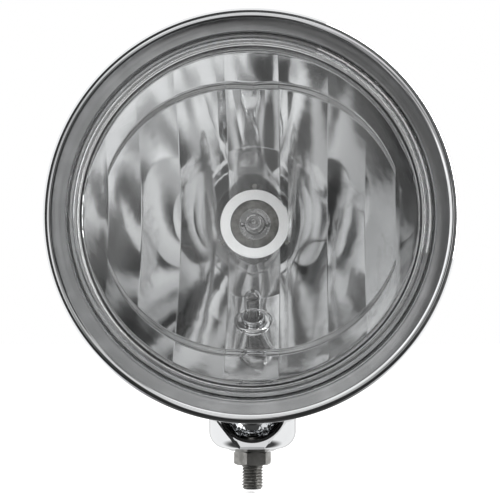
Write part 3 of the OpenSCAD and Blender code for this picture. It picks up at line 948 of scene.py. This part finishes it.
# %% Side lamp
socket_outline = ([(0, -15), (6.2, -15), (6.6, -14.6), (6.6, -5.4), (9.4, -5.4), (9.4, -3.8), (6.6, -3.8),
                   (6.6, 2.6)]
                  + arc((6.3, 3.2), (0.8, 0.8), -40, 180, 12)
                  + [(5.3, 3.0), (5.3, -9), (0, -9)])
socket = turned("side_socket", socket_outline, SIDE, 128, False)
fit(socket, chrome_socket, "head", ["side_lamp_socket"], 40)
tube = turned("side_bulb_tube", tube_outline(4.9, 0.6, -2, 24, 1.6), SIDE, 96)
fit(tube, bulb_glass, "head", ["side_bulb_glass"], 60)

# %% [markdown]
# ## Bulb clip and cable grommet
# The clip is one bent wire, so its corners are rounded by walking each corner along an arc
# of a quadratic curve before the wire is swept. The grommet is turned rubber.


# %% Bulb clip
def rounded(corners, radius):
    """A line through corners with each inner corner rounded."""
    line = [Vector(corners[0])]
    for before, corner, after in zip(corners, corners[1:], corners[2:]):
        corner = Vector(corner)
        a = corner + (Vector(before) - corner).normalized() * radius
        b = corner + (Vector(after) - corner).normalized() * radius
        for i in range(7):
            u = i / 6
            line.append(a * (1 - u) ** 2 + corner * 2 * u * (1 - u) + b * u**2)
    return line + [Vector(corners[-1])]


WIRE_R = 0.8
CLIP_LOW = -18.0
CLIP_HIGH = 16.5
CLIP_HALF = 7.6
CLIP_END = 12.6
CLIP_Z = -1.9
corners = [(-CLIP_END, CLIP_LOW, CLIP_Z), (-CLIP_HALF, CLIP_LOW, CLIP_Z), (-CLIP_HALF, CLIP_HIGH, CLIP_Z),
           (CLIP_HALF, CLIP_HIGH, CLIP_Z), (CLIP_HALF, CLIP_LOW, CLIP_Z), (CLIP_END, CLIP_LOW, CLIP_Z)]
clip = wire("spring_clip", rounded(corners, 1.6), BULB, WIRE_R)
fit(clip, spring_steel, "clip", ["bulb_clip"], 60)

# %% Cable grommet
inner_face = BACK_S - SHEET
grommet_outline = ([(3.5, inner_face - 2.2), (8.2, inner_face - 2.2), (8.6, inner_face - 1.8),
                    (8.6, inner_face), (6.5, inner_face), (6.5, BACK_S), (9.2, BACK_S)]
                   + arc((8.4, BACK_S + 1.4), (0.8, 0.8), 0, 70, 6)
                   + [(7.0, BACK_S + 3.2), (6.4, BACK_S + 6.2)]
                   + arc((5.7, BACK_S + 6.3), (0.7, 0.7), 10, 90, 6)
                   + [(4.1, BACK_S + 7), (3.5, BACK_S + 6.4)])
grommet = turned("grommet", grommet_outline, entry, 96)
fit(grommet, black_rubber, "head", ["cable_grommet"], 30)

# %% [markdown]
# ## Pieces that keep their CAD shape
# Washers, screws, brackets and leads inside the lamp already have their true shape. They
# keep their meshes and take the finish of their material slot.

# %% Finishes for the remaining nodes
FINISHES = {
    "zinc_steel": zinc_steel, "black_rubber": black_rubber, "grey_rubber": grey_rubber,
    "chrome_shell": chrome_shell, "chrome_bezel": chrome_bezel, "chrome_cup": chrome_cup,
    "lens_glass": lens_glass, "reflector_mirror": reflector_mirror, "spring_wire": spring_steel,
    "bulb_metal": satin_nickel, "bulb_glass": bulb_glass, "tungsten": tungsten,
    "socket_chrome": chrome_socket, "red_lead": red_insulation, "black_lead": black_insulation,
    "brown_lead": brown_insulation, "connector_plastic": connector_plastic, "brass_terminal": brass,
}
for part in frame["record"]["subparts"]:
    node = frame["nodes"][part["node"]]
    for place in node.material_slots:
        place.material = FINISHES[part["material_slot"]]

# %% [markdown]
# ## Camera, floor and light
# A mirror shows what stands round it, so the studio is part of the look. A near-white
# surround gives the bright rims, a dark ring in front draws the black line round the
# chrome, and a bright arc at the upper right lights the edge of the lens and the bezel.

# %% Camera
CAMERA_DISTANCE = 1.0
AZIMUTH = math.radians(1.7)
ELEVATION = math.radians(-3.3)
AIM_BELOW_AXIS = 0.0194
LENS_MM = 130.5
rim_centre = Vector((0, FRONT_Y, AXIS_Z))
away = Vector((math.sin(AZIMUTH) * math.cos(ELEVATION), -math.cos(AZIMUTH) * math.cos(ELEVATION),
               math.sin(ELEVATION)))
camera_data = bpy.data.cameras.new("camera")
camera_data.lens = LENS_MM
camera_data.sensor_width = 36
camera_data.clip_start = 0.01
camera = bpy.data.objects.new("camera", camera_data)
bpy.context.scene.collection.objects.link(camera)
camera.location = rim_centre + away * CAMERA_DISTANCE
aim = rim_centre - Vector((0, 0, AIM_BELOW_AXIS))
camera.rotation_euler = (aim - camera.location).to_track_quat("-Z", "Y").to_euler()
bpy.context.scene.camera = camera
print("camera at", [round(value, 3) for value in camera.location])


# %% Floor
def plain(name, color, roughness, glow=0.0):
    g = Graph(bpy.data.materials.new(name))
    grain = g.noise(6, 3)
    tone = g.mix(g.steps(grain, 0.3, 0.7), (*color, 1), tuple(0.98 * value for value in color) + (1,))
    return g.finish(g.principled(Base_Color=tone, Roughness=roughness, Emission_Color=tone,
                                 Emission_Strength=glow))


FLOOR_GAP = 0.002
FLOOR_HALF = 6000
floor_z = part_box("mounting_stud")[0].z - FLOOR_GAP
floor = prism("floor", [(-FLOOR_HALF, -FLOOR_HALF), (FLOOR_HALF, -FLOOR_HALF), (FLOOR_HALF, FLOOR_HALF),
                        (-FLOOR_HALF, FLOOR_HALF)], STUD, floor_z / MM - 10, floor_z / MM)
floor.data.materials.append(plain("pale floor", (0.92, 0.92, 0.92), 0.7, 0.35))
floor.visible_glossy = False
floor.visible_transmission = False
print(f"floor {-floor_z / MM:.0f} mm below the nut")

# %% [markdown]
# The floor isn't mirrored, because it would draw a bright band across the dish. What the
# mirrors see instead is made on purpose: three pieces in front of the lamp that the camera
# doesn't see. The ring and the arc are centred on the lamp's axis, in millimetres ahead of
# the bezel's front edge. The card stands on its own, to the left.


# %% Pieces that only mirrors and glass see
def mirrored(piece, finish):
    """Gives the piece its finish and hides it from the camera, from shadows and from matt surfaces."""
    piece.data.materials.append(finish)
    piece.visible_camera = False
    piece.visible_shadow = False
    piece.visible_diffuse = False
    print("mirrored:", piece.name)


RING_AHEAD = 230
RING_IN = 215
RING_OUT = 480
ring_place = axis_at(-RING_AHEAD, 0, -math.pi / 2)
ring_outline = [(RING_IN, 0), (RING_OUT, 0), (RING_OUT, 2), (RING_IN, 2)]
dark_ring = turned("dark ring round the view", ring_outline, ring_place, 96)
mirrored(dark_ring, plain("dark ring", (0.015, 0.015, 0.015), 0.9))

ARC_AHEAD = 100
ARC_IN = 300
ARC_OUT = 700
ARC_FROM = -70
ARC_TO = 10
ARC_GLOW = 7.0
arc_outline = (arc((0, 0), (ARC_IN, ARC_IN), ARC_FROM, ARC_TO, 16)
               + arc((0, 0), (ARC_OUT, ARC_OUT), ARC_TO, ARC_FROM, 16))
bright_arc = prism("bright arc", arc_outline, axis_at(-ARC_AHEAD, 0, -math.pi / 2), -2, 0)
mirrored(bright_arc, plain("bright arc", (1.0, 1.0, 1.0), 0.9, ARC_GLOW))

lamp_middle = Vector((0, 0, AXIS_Z))
CARD_W = 0.1
CARD_H = 0.9
card_mesh = bpy.data.meshes.new("narrow card on the left")
corners = [(-CARD_W / 2, -CARD_H / 2, 0), (CARD_W / 2, -CARD_H / 2, 0), (CARD_W / 2, CARD_H / 2, 0),
           (-CARD_W / 2, CARD_H / 2, 0)]
card_mesh.from_pydata(corners, [], [(0, 1, 2, 3)])
card = bpy.data.objects.new("narrow card on the left", card_mesh)
bpy.context.scene.collection.objects.link(card)
card.location = (-0.55, -0.9, AXIS_Z + 0.1)
card.rotation_euler = (lamp_middle - card.location).to_track_quat("Z", "Y").to_euler()
mirrored(card, plain("narrow card on the left", (0.9, 0.9, 0.9), 0.9))

# %% [markdown]
# Two soft boxes light what isn't a mirror: the satin land, the seals and the rubber. They
# are hidden from mirrors, where they would burn white patches into the dish.


# %% Soft boxes
def soft_box(name, centre, width, height, power):
    """A lamp that points at the middle of the fog lamp."""
    data = bpy.data.lights.new(name, "AREA")
    data.shape = "RECTANGLE"
    data.size = width
    data.size_y = height
    data.energy = power
    box = bpy.data.objects.new(name, data)
    bpy.context.scene.collection.objects.link(box)
    box.location = centre
    box.rotation_euler = (lamp_middle - Vector(centre)).to_track_quat("-Z", "Y").to_euler()
    box.visible_glossy = False
    box.visible_transmission = False
    print(f"{name}: {power} W")


soft_box("key", (0.75, -0.85, 0.75), 0.5, 0.7, 30)
soft_box("fill", (-1.1, -0.7, 0.5), 0.5, 0.9, 12)

# %% [markdown]
# The surround is a world shader: white to the sides and behind, and darker in front, where
# a room would be. The room is lighter towards its upper left, with soft shapes in it, so
# that the two sides of the dish differ.


# %% Surround
def surround():
    """White behind and beside the lamp, a graded room in front, dark straight below."""
    world = bpy.data.worlds.new("surround")
    bpy.context.scene.world = world
    g = Graph(world)
    view = g.add("TexCoord").output("Generated")
    axes = g.add("SeparateXYZ", {}, {0: view})
    right = axes.output("X")
    front = axes.output("Y") * -1
    up = axes.output("Z")
    shapes = g.add("TexNoise", {}, {"Vector": view, "Scale": 5.0, "Detail": 0.0})
    slope = up * 1.2 - right * 1.1
    room = 0.4 + slope + (g.steps(shapes, 0.36, 0.64) - 0.5) * 0.9
    room = g.math("MINIMUM", g.math("MAXIMUM", room, 0.04), 1.0)
    tone = 1 - (1 - room) * g.steps(front, 0.47, 0.6)
    tone = tone * (1 - 0.94 * g.steps(up * -1, 0.62, 0.85))
    tone = tone * (1 - 0.35 * g.steps(front * -1, 0.8, 0.97))
    seen = g.add("LightPath").output("Is Camera Ray")
    tone = g.math("MAXIMUM", tone, seen)
    background = g.add("Background", {}, {"Color": g.mix(tone, (0, 0, 0, 1), (1, 1, 1, 1))})
    g.finish(background, "OutputWorld")


surround()
bpy.context.scene.view_settings.view_transform = "Standard"
bpy.context.scene.view_settings.look = "None"
